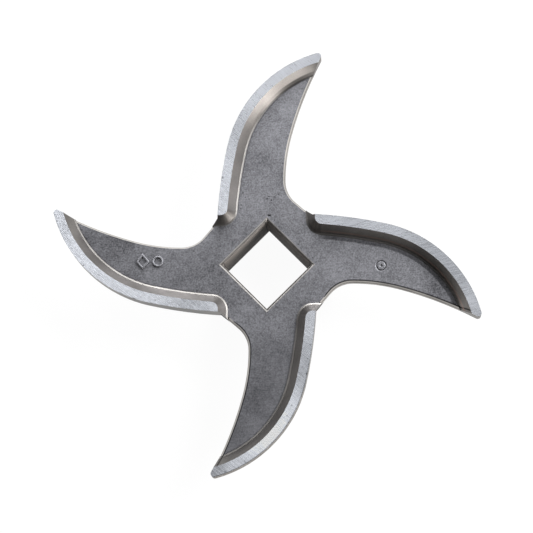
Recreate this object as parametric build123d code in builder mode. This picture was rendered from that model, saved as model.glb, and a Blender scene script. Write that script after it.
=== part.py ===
from build123d import *
import math
import os

os.makedirs("parts", exist_ok=True)

# Levels above the back face of the hub, in millimetres
hub_thickness = 14.0
land_height = 2.6
web_thickness = 1.6
land_level = hub_thickness + land_height
web_level = hub_thickness - web_thickness

# Square drive hole, for a 12.7 mm square shaft with an easy fit
shaft_square = 12.7
shaft_clearance = 0.5
drive_square = shaft_square + shaft_clearance
drive_rim_radius = 0.55

# Leading edge of an arm that points along +Y: a long flat arc, then a tighter one
arm_count = 4
sweep_radius = 26.5
sweep_centre = (17.6, 19.3)
sweep_start_angle = 168.0
tip_angle = 102.0
root_radius = 100.0
root_start_height = 9.6
tip_radius = 0.7

# Trailing edge, hollow side of the arm
waist_x = 3.85
waist_y = 18.0
waist_radius = 38.0
waist_turn = 15.0
valley_radius = 6.0
valley_turn = 50.0
edge_bevel_width = 0.45
edge_bevel_depth = 1.2

# Raised ground land along the leading edge and the sloping wall behind it
land_width = 2.0
wall_width = 1.75
foot_end_height = 8.4
foot_corner_radius = 3.2
foot_offset = land_width + wall_width
foot_fillet_radius = 0.4
overrun = 4.0

# Back: drafted boss round the drive hole, and arms that thin towards edge and tip
boss_wall = 2.7
boss_draft = 2.2
boss_rim_radius = 0.8
boss_radius = drive_square / math.sqrt(2.0) + boss_wall
boss_top_radius = boss_radius + boss_draft
back_level_root = 11.0
back_root_point = (-10.0, 12.0)
back_level_sweep = 12.2
back_sweep_point = (-3.5, 35.0)
back_level_waist = 12.6
back_waist_point = (5.0, 25.0)


def polar(centre, radius, angle):
    # Point at an angle in degrees on a circle
    turn = math.radians(angle)
    return (centre[0] + radius * math.cos(turn), centre[1] + radius * math.sin(turn))


# The two leading arcs share a tangent where they meet
join = polar(sweep_centre, sweep_radius, sweep_start_angle)
root_centre = polar(join, root_radius, sweep_start_angle - 180.0)
root_rise = (root_start_height - root_centre[1]) / root_radius
root_start_angle = 180.0 - math.degrees(math.asin(root_rise))
root_start = polar(root_centre, root_radius, root_start_angle)
root_sweep = sweep_start_angle - root_start_angle
tip = polar(sweep_centre, sweep_radius, tip_angle)


# One quarter of the outline, from the hub centre to one arm
with BuildSketch() as quarter:
    with BuildLine():
        CenterArc(root_centre, root_radius, root_start_angle, root_sweep)
        CenterArc(sweep_centre, sweep_radius, sweep_start_angle, tip_angle - sweep_start_angle)
        waist = JernArc((waist_x, waist_y), (0, 1), waist_radius, -waist_turn)
        TangentArc(waist @ 1, tip, tangent=waist % 1)
        valley = JernArc((waist_x, waist_y), (0, -1), valley_radius, valley_turn)
        next_root = (root_start[1], -root_start[0])
        Line(valley @ 1, next_root)
        Line(next_root, (0, 0))
        Line((0, 0), root_start)
    make_face()


# Foot of the raised land, wider by a margin: it runs past the outline, which trims it
def foot_face(margin):
    inner_radius = root_radius - foot_offset - margin
    outer_radius = root_radius + overrun
    end_height = foot_end_height - margin
    inner_rise = (end_height - root_centre[1]) / inner_radius
    outer_rise = (end_height - root_centre[1]) / outer_radius
    inner_angle = 180.0 - math.degrees(math.asin(inner_rise))
    outer_angle = 180.0 - math.degrees(math.asin(outer_rise))
    inner_end = tip_angle - 4.0
    outer_end = tip_angle - 10.0
    with BuildSketch() as foot:
        with BuildLine():
            inner_root = CenterArc(
                root_centre, inner_radius, inner_angle, sweep_start_angle - inner_angle
            )
            inner_sweep = CenterArc(
                sweep_centre,
                sweep_radius - foot_offset - margin,
                sweep_start_angle,
                inner_end - sweep_start_angle,
            )
            outer_root = CenterArc(
                root_centre, outer_radius, outer_angle, sweep_start_angle - outer_angle
            )
            outer_sweep = CenterArc(
                sweep_centre,
                sweep_radius + overrun,
                sweep_start_angle,
                outer_end - sweep_start_angle,
            )
            Line(inner_sweep @ 1, outer_sweep @ 1)
            Line(inner_root @ 0, outer_root @ 0)
        make_face()
        corner = foot.vertices().sort_by_distance(inner_root @ 0)[0]
        fillet(corner, radius=foot_corner_radius + margin)
    return foot.sketch


# Thick root under each arm, cut by a slanting plane
low_level = back_level_root - 2.0
root_point = Vector(*back_root_point, back_level_root)
sweep_point = Vector(*back_sweep_point, back_level_sweep)
waist_point = Vector(*back_waist_point, back_level_waist)
slant = (sweep_point - root_point).cross(waist_point - root_point)
slant_up = slant if slant.Z > 0 else slant * -1.0
slant_plane = Plane(origin=root_point, x_dir=sweep_point - root_point, z_dir=slant_up)
with BuildPart() as root_block:
    with BuildSketch(Plane.XY.offset(low_level)):
        add(quarter.sketch)
    extrude(amount=web_level - low_level)
    split(bisect_by=slant_plane, keep=Keep.TOP)

# Ridges that carry the land, still longer than the arms: a root down to the back of
# the web, a low splay at the foot of the wall, then the sloping wall up to the land
wall_slope = math.atan2(land_height, wall_width)
splay_outside = foot_fillet_radius * math.tan(wall_slope / 2.0)
splay_inside = splay_outside * math.cos(wall_slope)
splay_height = splay_outside * math.sin(wall_slope)
splay_taper = 90.0 - math.degrees(wall_slope / 2.0)
wall_taper = 90.0 - math.degrees(wall_slope)
with BuildPart() as ridges:
    with BuildSketch(Plane.XY.offset(web_level)):
        with PolarLocations(0, arm_count):
            add(foot_face(splay_outside))
    extrude(amount=web_thickness)
    with BuildSketch(Plane.XY.offset(hub_thickness)):
        with PolarLocations(0, arm_count):
            add(foot_face(splay_outside))
    extrude(amount=splay_height, taper=splay_taper)
    with BuildSketch(Plane.XY.offset(hub_thickness + splay_height)):
        with PolarLocations(0, arm_count):
            add(foot_face(-splay_inside))
    extrude(amount=land_height - splay_height, taper=wall_taper)

with BuildPart() as blades:
    # Flat web at hub level, with the bevel along its hollow edges
    with BuildSketch(Plane.XY.offset(web_level)):
        with PolarLocations(0, arm_count):
            add(quarter.sketch)
    extrude(amount=web_thickness)
    top_face = blades.faces().sort_by(Axis.Z)[-1]
    leading_radii = (sweep_radius, root_radius)
    hollow_edges = [
        edge
        for edge in top_face.edges()
        if edge.geom_type != GeomType.CIRCLE
        or min(abs(edge.radius - r) for r in leading_radii) > 0.01
    ]
    chamfer(hollow_edges, length=edge_bevel_width, length2=edge_bevel_depth, reference=top_face)
    # Ridges above, thick roots below, all trimmed to the outline with rounded tips
    add(ridges.part)
    with PolarLocations(0, arm_count):
        add(root_block.part)
    with BuildSketch(Plane.XY.offset(low_level)) as trim:
        with PolarLocations(0, arm_count):
            add(quarter.sketch)
        tips = trim.vertices().group_by(lambda v: round(math.hypot(v.X, v.Y), 2))[-1]
        fillet(tips, radius=tip_radius)
    extrude(amount=land_level - low_level, mode=Mode.INTERSECT)


with BuildPart() as knife:
    # The arms leave the hub between the axes, so the drive hole lies square to X and Y
    with PolarLocations(0, 1, start_angle=-180.0 / arm_count):
        add(blades.part)
    # Boss behind the arms, drafted towards the back
    with BuildSketch(Plane.XZ):
        with BuildLine():
            Polyline(
                (0, 0), (boss_radius, 0), (boss_top_radius, web_level), (0, web_level), (0, 0)
            )
        make_face()
    revolve(axis=Axis.Z)
    boss_rim = knife.edges().filter_by(GeomType.CIRCLE).sort_by(Axis.Z)[0]
    fillet(boss_rim, radius=boss_rim_radius)
    # Drive hole with rounded rims
    with BuildSketch(Plane.XY):
        Rectangle(drive_square, drive_square)
    extrude(amount=hub_thickness, mode=Mode.SUBTRACT)
    rims = [
        edge
        for edge in knife.edges().filter_by(GeomType.LINE)
        if abs(edge.length - drive_square) < 0.01
    ]
    fillet(rims, radius=drive_rim_radius)

knife.part.label = "grinder_knife"
export_step(knife.part, "parts/grinder_knife.step")
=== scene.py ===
import logging
import math
from dataclasses import dataclass, field
from enum import Enum
from typing import Any

import bpy
from mathutils import Matrix, Vector


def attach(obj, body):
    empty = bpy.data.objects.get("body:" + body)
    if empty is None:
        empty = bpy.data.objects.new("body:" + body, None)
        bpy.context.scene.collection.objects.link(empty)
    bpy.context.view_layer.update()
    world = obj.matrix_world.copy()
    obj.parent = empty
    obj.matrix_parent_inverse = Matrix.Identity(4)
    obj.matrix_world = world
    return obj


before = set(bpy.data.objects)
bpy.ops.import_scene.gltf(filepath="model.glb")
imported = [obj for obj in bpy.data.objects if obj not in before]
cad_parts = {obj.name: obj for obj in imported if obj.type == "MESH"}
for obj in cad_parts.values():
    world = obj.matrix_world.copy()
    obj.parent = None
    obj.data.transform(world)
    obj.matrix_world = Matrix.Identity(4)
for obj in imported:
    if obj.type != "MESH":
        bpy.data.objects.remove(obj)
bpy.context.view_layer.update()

log = logging.getLogger("grinder_knife")

MM = 0.001
ARM_TURN = math.radians(-45.0)
FIELD_LEVEL = 14.0 * MM
NOISE_MIDDLE = 0.5
Colour = tuple[float, float, float]
Point = tuple[float, float, float]
Circle = tuple[float, float, float]
Span = tuple[float, float]


def from_arms(x: float, y: float, z: float = 0.0) -> Vector:
    """Turn a place given along the arms into the frame of the part.

    Args:
        x: Distance to the right of the upper arm's axis.
        y: Distance along the upper arm's axis.
        z: Height above the back of the hub.

    Returns:
        The same place with the drive hole square to X and Y.
    """
    return Matrix.Rotation(ARM_TURN, 3, "Z") @ Vector((x, y, z))


class Shade:
    """One output socket of a shader node, with arithmetic."""

    def __init__(self, bench: "Bench", socket: Any) -> None:
        """Keep the socket and the bench that adds nodes for it."""
        self.bench = bench
        self.socket = socket

    def _maths(self, operation: str, *others: Any) -> "Shade":
        """Return the result of a Math node on this value and others."""
        return self.bench.value(operation, self, *others)

    def __add__(self, other: Any) -> "Shade":
        """Return the sum."""
        return self._maths("ADD", other)

    __radd__ = __add__

    def __sub__(self, other: Any) -> "Shade":
        """Return the difference."""
        return self._maths("SUBTRACT", other)

    def __rsub__(self, other: Any) -> "Shade":
        """Return the other value less this one."""
        return self._maths("MULTIPLY", -1.0)._maths("ADD", other)

    def __mul__(self, other: Any) -> "Shade":
        """Return the product."""
        return self._maths("MULTIPLY", other)

    __rmul__ = __mul__

    def size(self) -> "Shade":
        """Return the value without its sign."""
        return self._maths("ABSOLUTE")

    def most(self, other: Any) -> "Shade":
        """Return the larger of two values."""
        return self._maths("MAXIMUM", other)

    def least(self, other: Any) -> "Shade":
        """Return the smaller of two values."""
        return self._maths("MINIMUM", other)

    def rise(self, low: float, high: float) -> "Shade":
        """Return 0 below low, 1 above high and a smooth rise between.

        Args:
            low: Where the rise starts.
            high: Where the rise ends.

        Returns:
            The eased value.
        """
        return self.bench.shade(
            "ShaderNodeMapRange",
            {"interpolation_type": "SMOOTHSTEP"},
            {"Value": self, "From Min": low, "From Max": high},
            "Result",
        )

    def fall(self, low: float, high: float) -> "Shade":
        """Return 1 below low, 0 above high and a smooth fall between."""
        return 1.0 - self.rise(low, high)

    def band(self, low: float, high: float, soft: float) -> "Shade":
        """Return 1 between two values and 0 outside, with ends twice soft wide."""
        return self.rise(low - soft, low + soft) * self.fall(high - soft, high + soft)


class Bench:
    """Adds nodes to the tree of one material or sky."""

    def __init__(self, name: str, tree: bpy.types.NodeTree | None = None) -> None:
        """Empty the given tree, or that of a new material.

        Args:
            name: Name of the new material.
            tree: Tree to use in its place.
        """
        if tree is None:
            self.material = bpy.data.materials.new(name)
            self.material.use_nodes = True
            tree = self.material.node_tree
        self.tree = tree
        self.tree.nodes.clear()

    def node(self, kind: str, settings: dict[str, Any] | None = None, sockets: Any = None) -> Any:
        """Add one node.

        Args:
            kind: The node's type name.
            settings: Properties that are set first.
            sockets: Values or links of the inputs, by name or in order.

        Returns:
            The node.
        """
        made = self.tree.nodes.new(kind)
        for key, value in (settings or {}).items():
            setattr(made, key, value)
        pairs = sockets.items() if isinstance(sockets, dict) else enumerate(sockets or [])
        for key, value in pairs:
            if isinstance(value, Shade):
                self.tree.links.new(value.socket, made.inputs[key])
            else:
                made.inputs[key].default_value = value
        return made

    def shade(self, kind: str, settings: Any, sockets: Any, output: Any = 0) -> Shade:
        """Add one node as node does, and return one output by its name or number."""
        return Shade(self, self.node(kind, settings, sockets).outputs[output])

    def mix(self, share: Any, first: Any, second: Any) -> Shade:
        """Mix two colours.

        Args:
            share: Share of the second colour.
            first: Colour at share 0.
            second: Colour at share 1.

        Returns:
            The mixed colour.
        """
        node = self.node("ShaderNodeMix", {"data_type": "RGBA"})
        wanted = {"Factor_Float": share, "A_Color": first, "B_Color": second}
        inputs = {socket.identifier: socket for socket in node.inputs}
        for key, value in wanted.items():
            if isinstance(value, Shade):
                self.tree.links.new(value.socket, inputs[key])
            elif isinstance(value, tuple):
                inputs[key].default_value = (*value, 1.0)
            else:
                inputs[key].default_value = value
        outputs = {socket.identifier: socket for socket in node.outputs}
        return Shade(self, outputs["Result_Color"])

    def tint(self, colour: Any, amount: Shade) -> Shade:
        """Return a colour scaled by a value."""
        return self.shade("ShaderNodeVectorMath", {"operation": "SCALE"}, {0: colour, 3: amount})

    def parts(self, vector: Shade) -> tuple[Shade, ...]:
        """Return the three parts of a vector."""
        apart = self.node("ShaderNodeSeparateXYZ", {}, [vector])
        return tuple(Shade(self, output) for output in apart.outputs)

    def flattened(self, place: Shade) -> Shade:
        """Return coordinates with their height taken out."""
        sockets = {0: place, 1: (1.0, 1.0, 0.0)}
        return self.shade("ShaderNodeVectorMath", {"operation": "MULTIPLY"}, sockets)

    def value(self, operation: str, *numbers: Any) -> Shade:
        """Return the result of one Math node on numbers in their order."""
        return self.shade("ShaderNodeMath", {"operation": operation}, list(numbers))

    def distance(self, place: Shade, x: float, y: float) -> Shade:
        """Return the distance in metres of flat coordinates from a point."""
        sockets = {0: place, 1: (x, y, 0.0)}
        return self.shade("ShaderNodeVectorMath", {"operation": "DISTANCE"}, sockets, "Value")

    def turned(self, place: Shade, degrees: float) -> Shade:
        """Return coordinates turned about Z."""
        return self.shade(
            "ShaderNodeMapping",
            {"vector_type": "POINT"},
            {"Vector": place, "Rotation": (0.0, 0.0, math.radians(degrees))},
        )

    def bump(self, relief: Shade, strength: float = 0.6, depth: float = 0.03 * MM) -> Shade:
        """Return the normal of a fine relief, whose height of 1 stands for depth metres."""
        sockets = {"Strength": strength, "Distance": depth, "Height": relief}
        return self.shade("ShaderNodeBump", {}, sockets, "Normal")

    def noise(self, place: Shade, scale: float, detail: float, roughness: float) -> Shade:
        """Return noise about zero."""
        sockets = {"Vector": place, "Scale": scale, "Detail": detail, "Roughness": roughness}
        return self.shade("ShaderNodeTexNoise", {}, sockets, "Fac") - NOISE_MIDDLE

    def finish(self, surface: Shade) -> bpy.types.Material:
        """Link the surface to the output and return the material."""
        self.node("ShaderNodeOutputMaterial", {}, {"Surface": surface})
        return self.material

    def steel(self, colour: Shade, rough: Shade, metal: Any, relief: Shade) -> bpy.types.Material:
        """Make the material a steel.

        Args:
            colour: Base colour.
            rough: Roughness.
            metal: Share of metal.
            relief: Height of the fine relief.

        Returns:
            The material.
        """
        sockets = {"Base Color": colour, "Roughness": rough, "Metallic": metal}
        sockets["Normal"] = self.bump(relief)
        return self.finish(self.shade("ShaderNodeBsdfPrincipled", {}, sockets))


@dataclass(frozen=True)
class Mottle:
    """An uneven pattern with features of one size."""

    size: float
    detail: float = 2.0
    roughness: float = 0.55

    def pattern(self, bench: Bench, place: Shade) -> Shade:
        """Return the pattern as noise about zero."""
        return bench.noise(place, 1.0 / self.size, self.detail, self.roughness)


@dataclass(frozen=True)
class Strokes:
    """Fine lines that run in one direction, given in degrees from X."""

    turn: float
    length: float
    width: float
    detail: float = 3.0
    roughness: float = 0.6

    def pattern(self, bench: Bench, place: Shade) -> Shade:
        """Return the lines.

        Args:
            bench: The material's bench.
            place: The coordinates.

        Returns:
            Noise about zero, drawn out into lines.
        """
        scale = (1.0 / self.length, 1.0 / self.width, 1.0 / self.width)
        sockets = {"Vector": bench.turned(place, -self.turn), "Scale": scale}
        drawn = bench.shade("ShaderNodeMapping", {"vector_type": "POINT"}, sockets)
        return bench.noise(drawn, 1.0, self.detail, self.roughness)


@dataclass(frozen=True)
class Pits:
    """Small pits, scattered unevenly over a share of the cells of a grid."""

    spacing: float
    share: float
    least_reach: float = 0.08
    more_reach: float = 0.14
    softness: float = 0.05
    step: float = 0.02

    def mask(self, bench: Bench, place: Shade) -> Shade:
        """Return the pits.

        Args:
            bench: The material's bench.
            place: The coordinates.

        Returns:
            The mask, 1 in a pit.
        """
        sockets = {"Vector": place, "Scale": 1.0 / self.spacing}
        cells = bench.node("ShaderNodeTexVoronoi", {"feature": "F1"}, sockets)
        chance, spread, _ = bench.parts(Shade(bench, cells.outputs["Color"]))
        reach = spread * self.more_reach + self.least_reach
        away = Shade(bench, cells.outputs["Distance"]) - reach
        bare = 1.0 - self.share
        return away.fall(-self.softness, self.softness) * chance.rise(bare, bare + self.step)


@dataclass(frozen=True)
class Finish:
    """Colour and roughness of one kind of surface."""

    colour: Colour
    roughness: float


class Surface(Enum):
    """The kinds of surface of the knife."""

    CAST_FIELD = Finish((0.126, 0.1265, 0.137), 0.50)
    GROUND_LAND = Finish((0.682, 0.706, 0.760), 0.28)
    SLOPING_WALL = Finish((0.200, 0.189, 0.180), 0.42)
    WALL_FOOT = Finish((0.150, 0.144, 0.139), 0.50)
    CUT_SIDE = Finish((0.148, 0.138, 0.128), 0.42)
    EDGE_BEVEL = Finish((0.470, 0.446, 0.420), 0.35)
    BROACHED_WALL = Finish((0.140, 0.124, 0.112), 0.80)
    HOLE_RIM = Finish((0.125, 0.120, 0.116), 0.48)


@dataclass(frozen=True)
class Patch:
    """A place on the arms, in millimetres, where a finish is lighter or darker."""

    x: float
    y: float
    radius: float
    change: float


@dataclass
class ArmFold:
    """Folds the arms onto the upper one, so that one outline serves them all."""

    quarter: float = math.pi / 2.0
    first_angle: float = math.radians(60.0)
    sweep: Circle = (17.6 * MM, 19.3 * MM, 26.5 * MM)
    root: Circle = (89.49 * MM, 4.02 * MM, 100.0 * MM)
    sweep_start: float = 24.8 * MM
    valley: Circle = (9.85 * MM, 18.0 * MM, 6.0 * MM)
    waist: Circle = (41.85 * MM, 18.0 * MM, 38.0 * MM)
    tip: Circle = (81.74 * MM, 7.31 * MM, 79.3 * MM)
    waist_start: float = 18.0 * MM
    tip_start: float = 27.84 * MM
    seam: float = 0.01 * MM

    def folded(self, bench: Bench, place: Shade) -> Shade:
        """Return the coordinates turned onto the upper arm.

        Args:
            bench: The material's bench.
            place: Coordinates in the arms' frame.

        Returns:
            The folded coordinates, flat on the hub's back.
        """
        x, y, _ = bench.parts(place)
        angle = bench.value("ARCTAN2", y, x) - self.first_angle
        steps = bench.value("FLOOR", angle * (1.0 / self.quarter))
        turned = bench.shade(
            "ShaderNodeVectorRotate",
            {"rotation_type": "Z_AXIS"},
            {"Vector": place, "Angle": steps * -self.quarter},
        )
        return bench.flattened(turned)

    def outside(self, bench: Bench, folded: Shade, circle: Circle) -> Shade:
        """Return how far a place lies outside a circle of the outline, negative inside."""
        x, y, radius = circle
        return bench.distance(folded, x, y) - radius

    def past(self, out: Shade, start: float) -> Shade:
        """Return 1 past a place along the arm and 0 before it."""
        return out.rise(start - self.seam, start + self.seam)

    def from_edge(self, bench: Bench, folded: Shade, out: Shade) -> Shade:
        """Return the distance in from the leading edge.

        Args:
            bench: The material's bench.
            folded: Folded coordinates.
            out: Distance along the arm.

        Returns:
            The distance in metres.
        """
        outer = self.past(out, self.sweep_start)
        sweep = self.outside(bench, folded, self.sweep)
        root = self.outside(bench, folded, self.root)
        return 0.0 - (sweep * outer + root * (1.0 - outer))

    def from_hollow(self, bench: Bench, folded: Shade, out: Shade) -> Shade:
        """Return the distance in from the hollow trailing edge.

        Args:
            bench: The material's bench.
            folded: Folded coordinates.
            out: Distance along the arm.

        Returns:
            The distance in metres.
        """
        valley = self.outside(bench, folded, self.valley)
        waist = self.outside(bench, folded, self.waist)
        tip = self.outside(bench, folded, self.tip)
        upper = self.past(out, self.waist_start)
        outer = self.past(out, self.tip_start)
        return (valley * (1.0 - upper) + waist * upper) * (1.0 - outer) + tip * outer


@dataclass
class KnifePlan:
    """Coordinates on the knife, and masks of its surfaces and regions."""

    bench: Bench
    fold: ArmFold = field(default_factory=ArmFold)
    hole_half: float = 6.6 * MM
    hole_edge: float = 7.15 * MM
    hole_end: Span = (6.62 * MM, 6.68 * MM)
    rim_end: Span = (7.13 * MM, 7.19 * MM)
    above_web: Span = (14.02 * MM, 14.10 * MM)
    web_top: Span = (13.90 * MM, 13.98 * MM)
    level_slope: Span = (0.97, 0.99)
    foot_slope: Span = (0.78, 0.96)
    wall_slope: Span = (0.46, 0.78)
    bevel_slope: Span = (0.26, 0.44)
    side_slope: Span = (0.24, 0.28)
    back_slope: Span = (-0.30, -0.10)
    slope_softness: float = 0.02
    lower_tip_span: Span = (-42.0 * MM, -24.0 * MM)
    upper_tip_span: Span = (24.0 * MM, 40.0 * MM)
    lower_arm_span: Span = (-22.0 * MM, -10.0 * MM)
    lower_side_span: Span = (-32.0 * MM, -24.0 * MM)
    right_span: Span = (9.0 * MM, 15.0 * MM)
    right_top_span: Span = (14.0 * MM, 18.0 * MM)
    worn_span: Span = (-20.0 * MM, 20.0 * MM)

    def __post_init__(self) -> None:
        """Build the coordinates, the surfaces' masks and the regions."""
        bench = self.bench
        self.place: Shade = bench.shade("ShaderNodeTexCoord", {}, {}, "Object")
        self.x, self.y, self.height = bench.parts(self.place)
        self.arms: Shade = bench.turned(self.place, -math.degrees(ARM_TURN))
        self.flat: Shade = bench.flattened(self.arms)
        self.side, self.along, _ = bench.parts(self.flat)
        folded = self.fold.folded(bench, self.arms)
        _, self.out, _ = bench.parts(folded)
        self.edge: Shade = self.fold.from_edge(bench, folded, self.out)
        self.hollow: Shade = self.fold.from_hollow(bench, folded, self.out)
        self.masks: dict[Surface, Shade] = self.surfaces()
        self.join_masks()
        self.mark_regions()

    def surfaces(self) -> dict[Surface, Shade]:
        """Make one mask for each kind of surface that lies over the cast field.

        Returns:
            The masks by surface.
        """
        facing = self.bench.node("ShaderNodeNewGeometry")
        _, _, upward = self.bench.parts(Shade(self.bench, facing.outputs["True Normal"]))
        from_hole = self.x.size().most(self.y.size())
        above = self.height.rise(*self.above_web)
        soft = self.slope_softness
        in_hole = from_hole.fall(*self.hole_end)
        near_hole = from_hole.fall(*self.rim_end)
        cut = upward.fall(*self.side_slope) * upward.rise(*self.back_slope)
        return {
            Surface.WALL_FOOT: upward.band(*self.foot_slope, soft) * (1.0 - near_hole),
            Surface.SLOPING_WALL: upward.band(*self.wall_slope, soft) * above,
            Surface.GROUND_LAND: upward.rise(*self.level_slope) * above,
            Surface.EDGE_BEVEL: upward.band(*self.bevel_slope, soft) * (1.0 - above),
            Surface.CUT_SIDE: cut * (1.0 - in_hole),
            Surface.HOLE_RIM: near_hole * (1.0 - in_hole),
            Surface.BROACHED_WALL: in_hole,
        }

    def join_masks(self) -> None:
        """Join masks of surfaces that share a pattern."""
        masks = self.masks
        self.land: Shade = masks[Surface.GROUND_LAND]
        self.bevel: Shade = masks[Surface.EDGE_BEVEL]
        self.wall: Shade = masks[Surface.SLOPING_WALL].most(masks[Surface.WALL_FOOT])
        hole = masks[Surface.BROACHED_WALL].most(masks[Surface.HOLE_RIM])
        self.cast: Shade = 1.0 - self.land
        self.smooth: Shade = self.wall.most(self.bevel).most(hole).most(masks[Surface.CUT_SIDE])
        self.on_field: Shade = self.cast * (1.0 - self.smooth)
        self.top: Shade = self.height.rise(*self.web_top)

    def mark_regions(self) -> None:
        """Make masks of the arms and tips that differ in finish."""
        self.lower_tip: Shade = self.along.fall(*self.lower_tip_span)
        self.upper_tip: Shade = self.along.rise(*self.upper_tip_span)
        self.lower_arm: Shade = self.along.fall(*self.lower_arm_span)
        self.lower_side: Shade = self.masks[Surface.CUT_SIDE] * self.along.fall(
            *self.lower_side_span
        )
        self.right_arm: Shade = self.side.rise(*self.right_span) * self.along.fall(
            *self.right_top_span
        )
        self.worn: Shade = (self.side + self.along).fall(*self.worn_span)

    def painted_light_change(self, painted_light_patches: tuple[Patch, ...]) -> Shade:
        """Return how much lighter a place is painted by the patches of light and shade round it.

        Args:
            painted_light_patches: The patches.

        Returns:
            The change, zero away from every patch.
        """
        total: Any = 0.0
        for patch in painted_light_patches:
            away = self.bench.distance(self.flat, patch.x * MM, patch.y * MM)
            total = away.fall(0.0, patch.radius * MM) * patch.change + total
        return total


@dataclass
class CastSkin:
    """Clouds, blotches and grain of the skin, with painted light and shade in places."""

    clouds: Mottle = Mottle(6.0 * MM, 1.0)
    blotch: Mottle = Mottle(1.2 * MM)
    grain: Mottle = Mottle(0.30 * MM)
    drawn: Strokes = Strokes(4.0, 2.6 * MM, 0.35 * MM)
    cloud_share: float = 0.70
    blotch_share: float = 0.42
    grain_share: float = 1.60
    drawn_share: float = 0.55
    smooth_calm: float = 0.76
    lower_tip_calm: float = 0.60
    lower_arm_calm: float = 0.35
    # Painted light and shade: patches that make the field, walls, feet, cut sides and bevels
    # lighter or darker where light falls, among them a painted shadow on the field by the upper
    # arm's root corner and a painted highlight on the foot near the lower arm's tip.
    painted_light_patches: dict[Surface, tuple[Patch, ...]] = field(
        default_factory=lambda: {
            Surface.CAST_FIELD: (
                Patch(-1.0, 13.0, 7.0, 0.26),
                Patch(1.0, 27.0, 9.0, 0.12),
                Patch(6.0, 36.0, 7.0, 0.34),
                Patch(15.0, 1.0, 8.0, 0.14),
                Patch(-14.0, 0.0, 8.0, -0.14),
                Patch(-31.0, 3.0, 10.0, -0.22),
                Patch(-38.0, 6.5, 5.0, -0.20),
                Patch(-1.0, -27.0, 12.0, -0.20),
                Patch(36.0, -4.5, 7.0, -0.28),
                Patch(-9.0, -8.0, 6.0, -0.24),
                Patch(-9.7, 7.9, 1.7, -0.50),
            ),
            Surface.SLOPING_WALL: (
                Patch(-6.0, 17.0, 14.0, 0.08),
                Patch(-8.5, 10.3, 3.0, -0.45),
                Patch(11.2, 42.4, 2.2, -0.50),
                Patch(7.6, 41.0, 5.0, 0.42),
                Patch(0.0, 35.0, 6.0, 0.12),
                Patch(36.0, -1.5, 11.0, -0.30),
                Patch(-5.0, -35.0, 8.0, -0.12),
                Patch(-10.5, -39.5, 8.0, -0.45),
                Patch(6.0, 37.5, 7.0, -0.10),
                Patch(-42.0, 10.0, 9.0, -0.20),
            ),
            Surface.WALL_FOOT: (
                Patch(-5.6, 17.0, 16.0, -0.25),
                Patch(30.0, 4.0, 24.0, 0.35),
                Patch(5.0, -22.0, 14.0, 0.30),
                Patch(-3.0, -37.0, 12.0, -0.05),
                Patch(-11.4, -41.4, 3.0, 0.80),
                Patch(-42.0, 10.0, 9.0, -0.40),
                Patch(9.0, -8.6, 4.0, 0.30),
                Patch(-11.0, -9.5, 5.0, -0.30),
            ),
            Surface.CUT_SIDE: (
                Patch(3.0, -36.0, 20.0, -0.45),
                Patch(-20.0, -10.0, 16.0, -0.50),
            ),
            Surface.EDGE_BEVEL: (
                Patch(-26.0, 6.0, 26.0, 0.35),
                Patch(-8.0, -14.0, 8.0, -0.50),
                Patch(28.0, -6.0, 26.0, -0.38),
                Patch(7.0, 24.0, 14.0, 0.20),
            ),
        }
    )

    def coarse(self, plan: KnifePlan) -> Shade:
        """Return the blotches, calmer on the lower arm's tip."""
        pattern = self.blotch.pattern(plan.bench, plan.place)
        return pattern * (1.0 - plan.lower_tip * self.lower_tip_calm)

    def fine(self, plan: KnifePlan) -> Shade:
        """Return the grain, calmer on the lower arm."""
        pattern = self.grain.pattern(plan.bench, plan.place)
        return pattern * (1.0 - plan.lower_arm * self.lower_arm_calm)

    def tone(self, plan: KnifePlan, blotch: Shade, grain: Shade) -> Shade:
        """Return how light the skin is.

        Args:
            plan: Coordinates and masks.
            blotch: The blotches.
            grain: The grain.

        Returns:
            A factor about one.
        """
        drawn = self.drawn.pattern(plan.bench, plan.arms)
        pattern = blotch * self.blotch_share + grain * self.grain_share + drawn * self.drawn_share
        tone = self.clouds.pattern(plan.bench, plan.place) * self.cloud_share
        tone = tone + pattern * (1.0 - plan.smooth * self.smooth_calm) + 1.0
        places = {**plan.masks, Surface.CAST_FIELD: plan.on_field, Surface.SLOPING_WALL: plan.wall}
        # Add the painted light and shade of the patches.
        for surface, painted_light_patches in self.painted_light_patches.items():
            tone = tone + plan.painted_light_change(painted_light_patches) * places[surface]
        return tone


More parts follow.
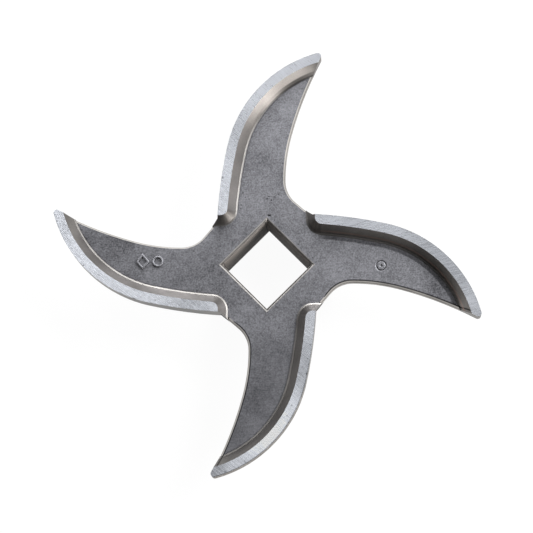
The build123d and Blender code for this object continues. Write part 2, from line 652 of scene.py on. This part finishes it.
@dataclass
class LandGrinding:
    """Scratches, rubbed places, burrs and nicks of the ground lands, with painted light in places.
    """

    falling: Strokes = Strokes(-38.0, 2.4 * MM, 0.15 * MM)
    rising: Strokes = Strokes(14.0, 4.5 * MM, 0.20 * MM)
    strokes: Strokes = Strokes(-40.0, 3.0 * MM, 0.34 * MM)
    rising_share: float = 0.60
    falling_share: float = 0.60
    worn_falling_share: float = 0.40
    scratch_share: float = 0.44
    upper_scratch_share: float = 0.30
    worn_stroke_share: float = 0.45
    lower_stroke_share: float = 0.55
    rub: float = 0.30
    worn_rub: float = 0.35
    right_calm: float = 0.15
    lower_calm: float = 0.30
    upper_calm: float = 0.20
    rub_blotch: float = 0.45
    rub_grain: float = 0.90
    burr_pattern: Mottle = Mottle(0.9 * MM, 3.0)
    burr_edge: Span = (0.05 * MM, 0.28 * MM)
    burr_step: Span = (-0.10, 0.10)
    burr_depth: float = 0.25
    nicks: Pits = Pits(1.3 * MM, 0.45)
    nick_edge: Span = (0.15 * MM, 0.70 * MM)
    nick_depth: float = 0.55
    lower_line_span: Span = (-26.0 * MM, -18.0 * MM)
    lower_line_edge: Span = (0.10 * MM, 0.24 * MM)
    lower_line_depth: float = 0.55
    dents: Pits = Pits(1.1 * MM, 0.18)
    dent_depth: float = 0.40
    # Painted light and shade: patches that make the lands lighter or darker where their unevenly
    # ground facets catch the light.
    painted_light_patches: tuple[Patch, ...] = (
        Patch(0.4, -36.0, 10.0, 0.52),
        Patch(5.0, -29.5, 6.0, 0.20),
        Patch(-11.6, -43.6, 5.5, -0.42),
        Patch(8.2, -22.0, 9.0, -0.22),
        Patch(-6.3, 28.5, 9.0, -0.22),
        Patch(8.0, 44.0, 8.0, 0.02),
        Patch(-16.0, -8.5, 8.0, -0.26),
        Patch(26.0, 7.8, 8.0, 0.16),
        Patch(43.5, -8.5, 6.0, 0.25),
        Patch(-43.0, 8.0, 8.0, -0.14),
    )

    def scratches(self, plan: KnifePlan) -> Shade:
        """Return the scratches, which change direction on the right arm.

        Args:
            plan: Coordinates and masks.

        Returns:
            Noise about zero.
        """
        falling = self.falling.pattern(plan.bench, plan.arms)
        rising = self.rising.pattern(plan.bench, plan.arms)
        share = plan.worn * self.worn_falling_share + self.falling_share
        return (
            rising * plan.right_arm * self.rising_share + falling * (1.0 - plan.right_arm) * share
        )

    def nicked(self, plan: KnifePlan) -> Shade:
        """Return the nicks along the leading edge."""
        return plan.edge.fall(*self.nick_edge) * self.nicks.mask(plan.bench, plan.place)

    def tone(
        self, plan: KnifePlan, blotch: Shade, grain: Shade, scratch: Shade, nick: Shade
    ) -> Shade:
        """Return how light the lands are.

        Args:
            plan: Coordinates and masks.
            blotch: The skin's blotches.
            grain: The skin's grain.
            scratch: The scratches.
            nick: The nicks along the leading edge.

        Returns:
            A factor about one.
        """
        stroke = self.strokes.pattern(plan.bench, plan.arms)
        rub = plan.worn * self.worn_rub + self.rub - plan.right_arm * self.right_calm
        rub = rub - plan.lower_tip * self.lower_calm - plan.upper_tip * self.upper_calm
        tone = scratch * (plan.upper_tip * self.upper_scratch_share + self.scratch_share) + 1.0
        tone = tone + stroke * (
            plan.worn * self.worn_stroke_share + plan.lower_tip * self.lower_stroke_share
        )
        tone = tone + (blotch * self.rub_blotch + grain * self.rub_grain) * rub
        # Add the painted light and shade of the patches.
        tone = tone + plan.painted_light_change(self.painted_light_patches)
        uneven = self.burr_pattern.pattern(plan.bench, plan.place).rise(*self.burr_step)
        burr = plan.edge.fall(*self.burr_edge) * uneven
        line = plan.edge.fall(*self.lower_line_edge) * plan.along.fall(*self.lower_line_span)
        dent = self.dents.mask(plan.bench, plan.arms) * plan.worn
        tone = tone * (1.0 - burr * self.burr_depth)
        tone = tone * (1.0 - nick.least(1.0) * self.nick_depth)
        tone = tone * (1.0 - line * self.lower_line_depth)
        return tone * (1.0 - dent * self.dent_depth)


@dataclass
class FootLines:
    """Painted shade and a painted reflection at the foot of the sloping wall: a dark corner of
    dirt together with painted shade, a painted cast shadow beside the right arm's wall, painted
    shade near the upper arm's tip, and a reddish line.
    """

    foot_line: float = 3.63 * MM
    foot_end: float = 3.96 * MM
    softness: float = 0.08 * MM
    corner_reach: Span = (-0.12 * MM, 0.25 * MM)
    corner_depth: float = 0.34
    shade_reach: Span = (-0.10 * MM, 0.85 * MM)
    shade_softness: float = 0.14 * MM
    shade_depth: float = 0.58
    shade_side: Span = (8.0 * MM, 12.0 * MM)
    shade_top: Span = (12.0 * MM, 14.0 * MM)
    dark_reach: Span = (-0.45 * MM, 0.12 * MM)
    dark_softness: float = 0.12 * MM
    dark_limit: float = 0.80
    arm_start: Span = (10.0 * MM, 12.5 * MM)
    # Painted reflection: a reddish-brown line low on the right arm's wall.
    reflection_reach: Span = (3.10 * MM, 3.34 * MM)
    reflection_share: float = 0.60
    reflected_brown: Colour = (0.33, 0.235, 0.205)
    # Places near the upper arm's tip where the foot gets painted shade.
    painted_shade_feet: tuple[Patch, ...] = (
        Patch(6.5, 38.5, 9.0, 0.75),
        Patch(-1.0, 31.5, 4.0, 0.35),
    )

    def tone(self, plan: KnifePlan) -> Shade:
        """Return the painted shade and shadow where the field meets the wall's foot.

        Args:
            plan: Coordinates and masks.

        Returns:
            A factor of one away from the lines.
        """
        start, end = self.foot_line, self.foot_end
        # Dark corner at the foot: dirt together with painted shade.
        low, high = self.corner_reach
        corner = plan.edge.band(end + low, end + high, self.softness)
        # Painted cast shadow on the field beside the right arm's wall.
        low, high = self.shade_reach
        shade = plan.edge.band(end + low, end + high, self.shade_softness)
        shade = shade * plan.side.rise(*self.shade_side) * plan.along.fall(*self.shade_top)
        # Painted shade on the lower wall and foot near the upper arm's tip.
        low, high = self.dark_reach
        dark = plan.edge.band(start + low, end + high, self.dark_softness)
        dark = dark * plan.painted_light_change(self.painted_shade_feet).least(self.dark_limit)
        dark = (corner * self.corner_depth).most(shade * self.shade_depth).most(dark)
        return 1.0 - dark * plan.out.rise(*self.arm_start) * plan.top * plan.cast

    def paint_reflection(self, plan: KnifePlan, colour: Shade) -> Shade:
        """Return the colour with a painted reddish reflection low on the right arm's wall."""
        line = plan.edge.band(*self.reflection_reach, self.softness) * plan.right_arm * plan.wall
        return plan.bench.mix(line * self.reflection_share, colour, self.reflected_brown)


@dataclass
class HollowLines:
    """Painted shade: dark lines on and along the bevel of the hollow trailing edges."""

    bevel_reach: Span = (13.05 * MM, 13.45 * MM)
    bevel_softness: float = 0.05 * MM
    bevel_depth: float = 0.55
    rim_reach: Span = (0.36 * MM, 0.66 * MM)
    rim_softness: float = 0.06 * MM
    rim_depth: float = 0.80
    rim_level: Span = (13.70 * MM, 13.80 * MM)
    rim_along: Span = (0.0, 5.0 * MM)
    rim_side: Span = (-18.0 * MM, -12.0 * MM)

    def tone(self, plan: KnifePlan) -> Shade:
        """Return the painted shade of the lines.

        Args:
            plan: Coordinates and masks.

        Returns:
            A factor of one away from the lines.
        """
        # Painted shade across the middle of the bevel, and along the trailing edge on the field of
        # the right and lower arms.
        middle = plan.height.band(*self.bevel_reach, self.bevel_softness) * plan.bevel
        rim = plan.hollow.band(*self.rim_reach, self.rim_softness) * plan.cast
        rim = rim * plan.along.fall(*self.rim_along) * plan.side.rise(*self.rim_side)
        rim = rim * plan.height.rise(*self.rim_level)
        return (1.0 - middle * self.bevel_depth) * (1.0 - rim * self.rim_depth)


@dataclass
class DriveHole:
    """Painted light and shade on the drive hole's walls and rims."""

    start: float = 0.05 * MM
    corner_shade_reach: Span = (-0.75 * MM, -0.45 * MM)
    corner_shade_depth: float = 0.75
    seam_reach: Span = (-0.34 * MM, -0.26 * MM)
    seam_light: float = 1.10
    deep_shade: float = 0.60
    right_light: float = 0.35
    right_deep_shade: float = 0.20
    line_reach: Span = (-0.22 * MM, 0.03 * MM)
    lip_reach: Span = (0.04 * MM, 0.18 * MM)
    softness: float = 0.03 * MM
    rim_tone: float = 0.60
    right_rim: float = 1.50
    lower_rim: float = 0.10
    lower_right_rim: float = -0.15
    line_light: float = 1.30
    right_line_cut: float = 1.20
    lip_light: float = 0.80

    def walls(self, plan: KnifePlan, right: Shade) -> Shade:
        """Return the tone of the walls, with painted shade towards the back and beside the
        corners, a painted highlight down each corner, and the upper right wall painted lighter.

        Args:
            plan: Coordinates and masks.
            right: Mask of the upper right wall.

        Returns:
            A factor about one.
        """
        corner = plan.x.size().least(plan.y.size())
        # Painted shade beside each corner and a painted highlight down the corner seam.
        low, high = self.corner_shade_reach
        groove = corner.rise(plan.hole_half + low, plan.hole_half + high)
        low, high = self.seam_reach
        seam = corner.rise(plan.hole_half + low, plan.hole_half + high)
        # Painted shade deeper in the hole.
        deep = plan.height.fall(0.0, FIELD_LEVEL)
        wall = 1.0 - deep * self.deep_shade
        wall = wall + right * (self.right_light - deep * self.right_deep_shade)
        return wall * (1.0 - groove * self.corner_shade_depth) + seam * self.seam_light

    def rims(self, plan: KnifePlan, left: Shade, right: Shade) -> Shade:
        """Return the tone of the rounded rims, with painted highlights along their edges and the
        upper right rim painted lighter.

        Args:
            plan: Coordinates and masks.
            left: Mask of the upper left wall.
            right: Mask of the upper right wall.

        Returns:
            A factor about one.
        """
        from_hole = plan.x.size().most(plan.y.size())
        lower = 1.0 - left.most(right)
        lower_right = plan.y.fall(-plan.hole_half, -plan.hole_half + self.start)
        # Painted highlights along the outer edge of the rims and on the lower right inner lip.
        low, high = self.line_reach
        line = from_hole.band(plan.hole_edge + low, plan.hole_edge + high, self.softness)
        low, high = self.lip_reach
        lip = from_hole.band(plan.hole_half + low, plan.hole_half + high, self.softness)
        rim = right * self.right_rim + lower * self.lower_rim + self.rim_tone
        rim = rim + lower_right * self.lower_right_rim
        rim = rim + line * (1.0 - right * self.right_line_cut) * self.line_light
        return rim + lip * lower_right * self.lip_light

    def tone(self, plan: KnifePlan) -> Shade:
        """Return the painted light and shade of walls and rims.

        Args:
            plan: Coordinates and masks.

        Returns:
            A factor of one outside the hole.
        """
        right = plan.x.rise(plan.hole_half - self.start, plan.hole_half)
        left = plan.y.rise(plan.hole_half - self.start, plan.hole_half)
        wall = (self.walls(plan, right) - 1.0) * plan.masks[Surface.BROACHED_WALL]
        rim = (self.rims(plan, left, right) - 1.0) * plan.masks[Surface.HOLE_RIM]
        return wall + rim + 1.0


@dataclass
class CastPits:
    """Pits of the cast field: a few everywhere, more above the hole, and single ones."""

    few: Pits = Pits(1.1 * MM, 0.06)
    many: Pits = Pits(0.8 * MM, 0.30)
    many_place: Span = (-1.0 * MM, 13.0 * MM)
    many_reach: Span = (4.0 * MM, 10.0 * MM)
    strength: float = 0.60
    heart: float = 0.40
    singles: tuple[Patch, ...] = (
        Patch(0.3, 10.45, 0.34, 1.0),
        Patch(0.65, 10.45, 0.30, 0.9),
        Patch(0.0, 14.0, 0.28, 0.8),
        Patch(0.9, 13.7, 0.26, 0.8),
        Patch(0.4, 14.5, 0.22, 0.7),
        Patch(1.6, 14.4, 0.24, 0.6),
        Patch(2.4, 14.9, 0.22, 0.7),
        Patch(-5.1, 15.3, 0.26, 0.7),
        Patch(-4.6, 14.3, 0.22, 0.6),
        Patch(-3.8, 14.0, 0.20, 0.6),
        Patch(-5.5, 12.7, 0.26, 0.7),
        Patch(-5.6, 11.9, 0.22, 0.7),
        Patch(4.9, 10.6, 0.20, 0.5),
        Patch(9.6, 1.4, 0.22, 0.7),
    )

    def mask(self, plan: KnifePlan) -> Shade:
        """Return the pits.

        Args:
            plan: Coordinates and masks.

        Returns:
            The mask, 1 at the deepest.
        """
        near = plan.bench.distance(plan.flat, *self.many_place).fall(*self.many_reach)
        pits = self.few.mask(plan.bench, plan.place)
        pits = pits.most(self.many.mask(plan.bench, plan.arms) * near) * self.strength
        single: Any = 0.0
        for pit in self.singles:
            away = plan.bench.distance(plan.flat, pit.x * MM, pit.y * MM)
            reach = pit.radius * MM
            single = away.fall(reach * self.heart, reach) * pit.change + single
        return pits.most(single) * plan.on_field * plan.top


@dataclass
class StampedRing:
    """A ring with a centre point, stamped into the right arm."""

    place: Span = (24.0 * MM, -0.3 * MM)
    radius: float = 1.0 * MM
    stroke: float = 0.26 * MM
    point: Span = (0.10 * MM, 0.36 * MM)

    def mask(self, plan: KnifePlan) -> Shade:
        """Return the groove, 1 at its deepest.

        Args:
            plan: Coordinates and masks.

        Returns:
            The mask.
        """
        away = plan.bench.distance(plan.flat, *self.place)
        groove = (away - self.radius).size().fall(0.0, self.stroke)
        return groove.most(away.fall(*self.point)) * plan.on_field * plan.top


@dataclass
class KnifeDress:
    """Steel of the cast knife, laid over its surfaces by height and slope."""

    node: str = "grinder_knife"
    skin: CastSkin = field(default_factory=CastSkin)
    grinding: LandGrinding = field(default_factory=LandGrinding)
    foot: FootLines = field(default_factory=FootLines)
    hollow: HollowLines = field(default_factory=HollowLines)
    hole: DriveHole = field(default_factory=DriveHole)
    pits: CastPits = field(default_factory=CastPits)
    ring: StampedRing = field(default_factory=StampedRing)
    pit_tone: float = 0.80
    ring_tone: float = 0.72
    dull: float = 0.85
    lower_side_rough: float = 0.38
    grain_rough: float = 0.12
    scratch_rough: float = 0.20
    upper_scratch_calm: float = 0.70
    grain_relief: float = 0.50
    blotch_relief: float = 0.40
    scratch_relief: float = 0.25
    pit_relief: float = 1.6
    ring_relief: float = 4.0
    nick_relief: float = 0.6

    def base(self, plan: KnifePlan) -> tuple[Shade, Shade]:
        """Return plain colour and roughness of all surfaces.

        Args:
            plan: Coordinates and masks.

        Returns:
            The colour and the roughness.
        """
        colour: Any = Surface.CAST_FIELD.value.colour
        rough: Any = Surface.CAST_FIELD.value.roughness
        for surface, mask in plan.masks.items():
            colour = plan.bench.mix(mask, colour, surface.value.colour)
            rough = mask * surface.value.roughness + (1.0 - mask) * rough
        return colour, rough

    def material(self) -> bpy.types.Material:
        """Build the steel.

        Returns:
            The material.
        """
        bench = Bench("cast_steel")
        plan = KnifePlan(bench)
        colour, rough = self.base(plan)
        blotch, grain = self.skin.coarse(plan), self.skin.fine(plan)
        scratch, nick = self.grinding.scratches(plan), self.grinding.nicked(plan)
        pit, groove = self.pits.mask(plan), self.ring.mask(plan)
        ground = self.grinding.tone(plan, blotch, grain, scratch, nick)
        # The skin and land tones carry painted light and shade from their patches.
        tone = self.skin.tone(plan, blotch, grain) * plan.cast + ground * plan.land
        # Multiply in the painted shade, shadow and highlights of the feet, the hollow edges and
        # the drive hole.
        tone = tone * self.foot.tone(plan) * self.hollow.tone(plan) * self.hole.tone(plan)
        tone = tone * (1.0 - pit * self.pit_tone) * (1.0 - groove * self.ring_tone)
        cut = scratch * plan.land * (1.0 - plan.upper_tip * self.upper_scratch_calm)
        rough = rough + plan.lower_side * self.lower_side_rough
        rough = rough + grain * self.grain_rough * plan.on_field + cut * self.scratch_rough
        dull = plan.masks[Surface.BROACHED_WALL].most(plan.lower_side)
        relief = (grain * self.grain_relief + blotch * self.blotch_relief) * plan.on_field
        relief = relief + cut * self.scratch_relief - pit * self.pit_relief
        relief = relief - groove * self.ring_relief - nick * self.nick_relief
        # Paint the reddish reflection on the right arm's wall.
        colour = self.foot.paint_reflection(plan, bench.tint(colour, tone))
        return bench.steel(colour, rough, 1.0 - dull * self.dull, relief)

    def dress(self) -> None:
        """Give the knife its steel."""
        knife = bpy.data.objects[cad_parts[self.node].name]
        knife.data.materials.clear()
        knife.data.materials.append(self.material())
        log.info("dressed %s", self.node)


@dataclass
class RaisedSign:
    """A raised closed line cast on the field of an arm."""

    name: str
    corners: int
    centre: tuple[float, float]
    half_width: float
    half_height: float
    stroke: float = 0.48 * MM
    height: float = 0.40 * MM
    sunk: float = 0.10 * MM
    rounding: float = 0.144 * MM
    rounding_steps: int = 3
    sharpest_angle: float = math.radians(60.0)
    smooth_angle: float = math.radians(40.0)

    def build(self) -> bpy.types.Object:
        """Model the line as a low wall with rounded top edges.

        Returns:
            The piece.
        """
        bpy.ops.object.select_all(action="DESELECT")
        bpy.ops.mesh.primitive_circle_add(
            vertices=self.corners, radius=self.half_height, fill_type="NGON"
        )
        piece = bpy.context.object
        piece.name = self.name
        bpy.ops.object.mode_set(mode="EDIT")
        bpy.ops.mesh.select_all(action="SELECT")
        bpy.ops.transform.resize(value=(self.half_width / self.half_height, 1.0, 1.0))
        bpy.ops.mesh.inset(thickness=self.stroke, depth=0.0)
        bpy.ops.mesh.delete(type="ONLY_FACE")
        bpy.ops.mesh.select_all(action="SELECT")
        bpy.ops.mesh.extrude_region_move(
            TRANSFORM_OT_translate={"value": (0.0, 0.0, self.height + self.sunk)}
        )
        bpy.ops.mesh.select_all(action="SELECT")
        bpy.ops.mesh.normals_make_consistent(inside=False)
        bpy.ops.object.mode_set(mode="OBJECT")
        self.round_top(piece)
        spot = from_arms(*self.centre, FIELD_LEVEL - self.sunk)
        piece.data.transform(Matrix.Translation(spot) @ Matrix.Rotation(ARM_TURN, 4, "Z"))
        bpy.ops.object.shade_smooth_by_angle(angle=self.smooth_angle)
        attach(piece, "root")
        log.info("modelled %s", self.name)
        return piece

    def round_top(self, piece: bpy.types.Object) -> None:
        """Round the edges with a bevel modifier.

        Args:
            piece: The raised line.
        """
        bevel = piece.modifiers.new("rounding", "BEVEL")
        bevel.width = self.rounding
        bevel.segments = self.rounding_steps
        bevel.limit_method = "ANGLE"
        bevel.angle_limit = self.sharpest_angle
        bpy.ops.object.modifier_apply(modifier=bevel.name)


@dataclass
class ArmSigns:
    """Generic raised signs cast on the left arm: a rhombus and a ring."""

    skin: CastSkin = field(default_factory=CastSkin)
    # The signs are painted 1.25 times as light as the field: wear on their raised tops together
    # with a painted highlight.
    tone: float = 1.25
    blotch_share: float = 0.50
    grain_share: float = 1.30
    grain_rough: float = 0.12
    signs: tuple[RaisedSign, ...] = (
        RaisedSign("raised_rhombus", 4, (-26.2 * MM, 0.7 * MM), 1.50 * MM, 1.75 * MM),
        RaisedSign("raised_ring", 40, (-23.0 * MM, 0.7 * MM), 1.20 * MM, 1.20 * MM),
    )

    def material(self) -> bpy.types.Material:
        """Build the cast skin of the signs.

        Returns:
            The material.
        """
        bench = Bench("cast_sign")
        place = bench.shade("ShaderNodeTexCoord", {}, {}, "Object")
        blotch = self.skin.blotch.pattern(bench, place)
        grain = self.skin.grain.pattern(bench, place)
        finish = Surface.CAST_FIELD.value
        tone = blotch * self.blotch_share + grain * self.grain_share + self.tone
        rough = grain * self.grain_rough + finish.roughness
        return bench.steel(bench.tint(finish.colour, tone), rough, 1.0, grain)

    def build(self) -> None:
        """Model and dress the signs."""
        steel = self.material()
        for sign in self.signs:
            piece = sign.build()
            piece.data.materials.append(steel)


@dataclass
class Lamp:
    """A round soft lamp that points at the hub.

    Its bearing and height are in degrees, the bearing counted from the right arm.
    """

    name: str
    bearing: float
    height: float
    width: float
    watts: float
    colour: Colour = (1.0, 1.0, 1.0)
    distance: float = 0.45

    def place(self) -> None:
        """Add the lamp."""
        reach = self.distance * math.cos(math.radians(self.height))
        turn = math.radians(self.bearing)
        spot = from_arms(
            reach * math.cos(turn),
            reach * math.sin(turn),
            self.distance * math.sin(math.radians(self.height)),
        )
        data = bpy.data.lights.new(self.name, "AREA")
        data.shape = "DISK"
        data.size = self.width
        data.energy = self.watts
        data.color = self.colour
        lamp = bpy.data.objects.new(self.name, data)
        lamp.location = spot
        lamp.rotation_mode = "QUATERNION"
        lamp.rotation_quaternion = (-spot).to_track_quat("-Z", "Y")
        bpy.context.scene.collection.objects.link(lamp)


@dataclass
class Studio:
    """Pale floor, soft light and the camera.

    Tilt and offset place the knife before the camera, in radians and in pixels.
    """

    floor_width: float = 3.0
    floor_colour: Colour = (0.80, 0.80, 0.80)
    floor_glow: float = 0.95
    sky: Colour = (0.94, 0.97, 1.0)
    sky_strength: float = 0.06
    sky_bearing: float = 62.0
    sky_height: float = 60.0
    sky_spread: Span = (-0.35, 0.95)
    pixels: float = 533.0
    sensor: float = 36.0
    focal_pixels: float = 2857.0
    metres_per_pixel: float = 0.2102 * MM
    near_clip: float = 0.01
    far_clip: float = 10.0
    tilt: tuple[float, float] = (-0.1524, 0.0385)
    offset: Point = (0.3543, -1.9475, 2857.0)
    lamps: tuple[Lamp, ...] = (
        Lamp("key", 120.0, 55.0, 0.16, 0.60),
        Lamp("upper", 90.0, 25.0, 0.20, 3.2),
        Lamp("right", 25.0, 40.0, 0.26, 4.4),
        Lamp("low_right", 325.0, 10.0, 0.24, 2.8, (1.0, 0.97, 0.94)),
        Lamp("left", 165.0, 15.0, 0.20, 0.36),
        Lamp("overhead", 160.0, 80.0, 0.20, 0.08),
    )

    def lay_floor(self) -> None:
        """Add the floor, which shows white and keeps a pale shadow."""
        bpy.ops.object.select_all(action="DESELECT")
        bpy.ops.mesh.primitive_plane_add(size=self.floor_width, location=(0.0, 0.0, 0.0))
        floor = bpy.context.object
        floor.name = "floor"
        bench = Bench("pale_floor")
        paths = bench.node("ShaderNodeLightPath")
        seen = Shade(bench, paths.outputs["Is Camera Ray"])
        seen = seen.most(Shade(bench, paths.outputs["Is Glossy Ray"]))
        seen = seen.most(Shade(bench, paths.outputs["Is Transmission Ray"]))
        matt = bench.shade("ShaderNodeBsdfDiffuse", {}, {"Color": (*self.floor_colour, 1.0)})
        glow = bench.shade("ShaderNodeEmission", {}, {"Strength": 1.0})
        sockets = {0: seen * self.floor_glow, 1: matt, 2: glow}
        floor.data.materials.append(bench.finish(bench.shade("ShaderNodeMixShader", {}, sockets)))

    def light(self) -> None:
        """Set the sky and place the lamps."""
        world = bpy.data.worlds.new("studio")
        bpy.context.scene.world = world
        world.use_nodes = True
        bench = Bench("sky", world.node_tree)
        turn, lift = math.radians(self.sky_bearing), math.radians(self.sky_height)
        brightest = from_arms(
            math.cos(turn) * math.cos(lift), math.sin(turn) * math.cos(lift), math.sin(lift)
        )
        direction = bench.shade("ShaderNodeTexCoord", {}, {}, "Generated")
        sockets = {0: direction, 1: tuple(brightest)}
        towards = bench.shade(
            "ShaderNodeVectorMath", {"operation": "DOT_PRODUCT"}, sockets, "Value"
        )
        strength = towards.rise(*self.sky_spread) * self.sky_strength
        sockets = {"Color": (*self.sky, 1.0), "Strength": strength}
        glow = bench.shade("ShaderNodeBackground", {}, sockets)
        bench.node("ShaderNodeOutputWorld", {}, {"Surface": glow})
        for lamp in self.lamps:
            lamp.place()

    def aim_camera(self) -> None:
        """Place the camera where the knife was looked at from."""
        turn = Vector((*self.tilt, 0.0))
        rotation = Matrix.Rotation(turn.length, 3, turn.normalized())
        right, down, ahead = (Vector(row) for row in rotation)
        spot = -(rotation.transposed() @ Vector(self.offset)) * self.metres_per_pixel

        def upright(v: Vector) -> Vector:
            """Turn picture axes, with Y down and Z away, into the part's frame."""
            return from_arms(v.x, -v.y, -v.z)

        place = upright(spot) + Vector((0.0, 0.0, FIELD_LEVEL))
        axes = Matrix((upright(right), -upright(down), -upright(ahead))).transposed()
        data = bpy.data.cameras.new("camera")
        data.sensor_width = self.sensor
        data.lens = self.focal_pixels / self.pixels * self.sensor
        data.clip_start = self.near_clip
        data.clip_end = self.far_clip
        camera = bpy.data.objects.new("camera", data)
        camera.matrix_world = Matrix.Translation(place) @ axes.to_4x4()
        bpy.context.scene.collection.objects.link(camera)
        bpy.context.scene.camera = camera
        log.info("camera %.0f mm lens", data.lens)

    def build(self) -> None:
        """Set up floor, light, camera and view."""
        self.lay_floor()
        self.light()
        self.aim_camera()
        bpy.context.scene.view_settings.view_transform = "Standard"


def main() -> None:
    """Build the scene in order."""
    logging.basicConfig(level=logging.INFO, format="%(name)s: %(message)s")
    Studio().build()
    KnifeDress().dress()
    ArmSigns().build()


if __name__ == "__main__":
    main()
